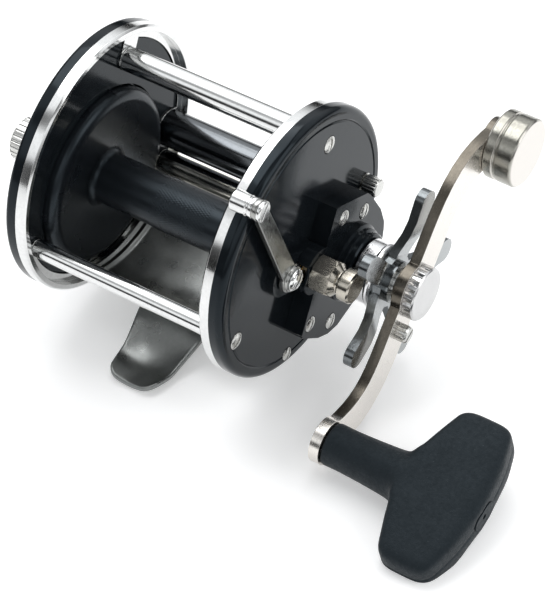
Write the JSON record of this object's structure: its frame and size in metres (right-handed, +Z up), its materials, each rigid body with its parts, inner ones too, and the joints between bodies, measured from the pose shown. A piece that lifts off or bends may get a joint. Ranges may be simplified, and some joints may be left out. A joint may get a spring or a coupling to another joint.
{
  "type": "trolling reel",
  "caption": "Chrome and black star-drag trolling reel with a wide black spool, free-spool lever and a counterweighted crank with a rubber T grip.",
  "frame": {"origin": "centre of the foot's underside, where the reel stands or is clamped to a rod", "axes": "+X along the spool axis towards the handle, +Y the front where the line leaves, -Y the side of the angler, +Z up from the foot"},
  "size_m": [0.165, 0.1251, 0.0938],
  "materials": {
    "black_moulding": "polished moulded phenolic",
    "black_spool": "satin moulded spool",
    "chrome_plate": "bright chrome plate over brass",
    "worn_chrome": "chrome plate with fine handling marks",
    "machined_steel": "turned stainless steel",
    "hardened_steel": "ground and oiled steel",
    "gear_brass": "cut brass, lightly greased",
    "drag_fibre": "oiled fibre drag washer",
    "grip_rubber": "matte textured rubber"
  },
  "bodies": {
    "frame": {"left_plate": "black_moulding", "right_plate": "black_moulding", "left_ring": "chrome_plate", "right_ring": "chrome_plate", "top_pillar": "chrome_plate", "rear_pillar": "chrome_plate", "front_pillars": "chrome_plate", "stand": "chrome_plate", "reel_foot": "worn_chrome", "foot_rivets": "chrome_plate", "stand_screws": "machined_steel", "left_plate_screws": "machined_steel", "right_plate_screws": "machined_steel", "gear_housing": "black_moulding", "housing_screws": "machined_steel", "bridge_plate": "machined_steel", "bridge_screws": "machined_steel", "gear_stud": "hardened_steel", "dog_pin": "hardened_steel", "left_bush": "gear_brass", "right_bush": "gear_brass", "click_spring": "gear_brass", "takeapart_seat": "machined_steel"},
    "spool_group": {"spool": "black_spool", "spool_shaft": "hardened_steel", "click_ratchet": "hardened_steel"},
    "crank": {"gear_sleeve": "machined_steel", "main_gear": "gear_brass", "drag_washers": "drag_fibre", "dog_ratchet": "hardened_steel", "drag_spacer": "chrome_plate", "handle_arm": "worn_chrome", "counterweight": "machined_steel", "handle_nut": "chrome_plate", "nut_lock_screw": "machined_steel", "knob_spindle": "machined_steel"},
    "star": {"star_drag": "chrome_plate"},
    "knob": {"knob_grip": "grip_rubber", "knob_end_plug": "grip_rubber"},
    "lever": {"clutch_lever": "chrome_plate", "lever_post": "chrome_plate", "lever_screw": "chrome_plate", "clutch_cam": "hardened_steel"},
    "yoke": {"clutch_yoke": "hardened_steel"},
    "pinion_gear": {"pinion": "gear_brass"},
    "left_cap": {"left_bearing_cap": "machined_steel"},
    "tension": {"tension_knob": "chrome_plate"},
    "takeapart": {"takeapart_screw": "machined_steel"},
    "click": {"click_button": "machined_steel", "click_pawl": "hardened_steel"},
    "dog": {"dog_pawl": "hardened_steel"}
  },
  "joints": [
    {"name": "crank_turn", "type": "hinge", "parent": "frame", "child": "crank", "pos_m": [0, 0.0157, 0.0325], "axis": [1, 0, 0], "continuous": true},
    {"name": "star_turn", "type": "hinge", "parent": "crank", "child": "star", "pos_m": [0.057, 0.0157, 0.0325], "axis": [1, 0, 0], "range_deg": [-150, 150]},
    {"name": "knob_spin", "type": "hinge", "parent": "crank", "child": "knob", "pos_m": [0.09, -0.02889, 0.00879], "axis": [1, 0, 0], "continuous": true},
    {"name": "spool_spin", "type": "hinge", "parent": "frame", "child": "spool_group", "pos_m": [0, -0.002, 0.0425], "axis": [1, 0, 0], "continuous": true},
    {"name": "lever_turn", "type": "hinge", "parent": "frame", "child": "lever", "pos_m": [0.04, -0.0123, 0.047], "axis": [1, 0, 0], "range_deg": [0, 40]},
    {"name": "yoke_slide", "type": "slide", "parent": "frame", "child": "yoke", "axis": [1, 0, 0], "range_m": [0, 0.0018]},
    {"name": "pinion_spin", "type": "hinge", "parent": "yoke", "child": "pinion_gear", "pos_m": [0.038, -0.002, 0.0425], "axis": [1, 0, 0], "continuous": true},
    {"name": "left_cap_turn", "type": "hinge", "parent": "frame", "child": "left_cap", "pos_m": [-0.046, -0.002, 0.0425], "axis": [1, 0, 0], "range_deg": [-180, 180]},
    {"name": "tension_turn", "type": "hinge", "parent": "frame", "child": "tension", "pos_m": [0.047, -0.002, 0.0425], "axis": [1, 0, 0], "range_deg": [-180, 180]},
    {"name": "takeapart_turn", "type": "hinge", "parent": "frame", "child": "takeapart", "pos_m": [0.04, 0.0324, 0.0476], "axis": [1, 0, 0], "range_deg": [-180, 180]},
    {"name": "click_slide", "type": "slide", "parent": "frame", "child": "click", "axis": [0, 0.6563, -0.7545], "range_m": [0, 0.003]},
    {"name": "dog_swing", "type": "hinge", "parent": "frame", "child": "dog", "pos_m": [0.0377, 0.02143, 0.02173], "axis": [1, 0, 0], "range_deg": [-14, 0]}
  ],
  "couplings": [
    {"joint": "spool_spin", "follows": "crank_turn", "ratio": -3},
    {"joint": "pinion_spin", "follows": "crank_turn", "ratio": -3},
    {"joint": "yoke_slide", "follows": "lever_turn", "m_per_rad": 0.0025778}
  ]
}
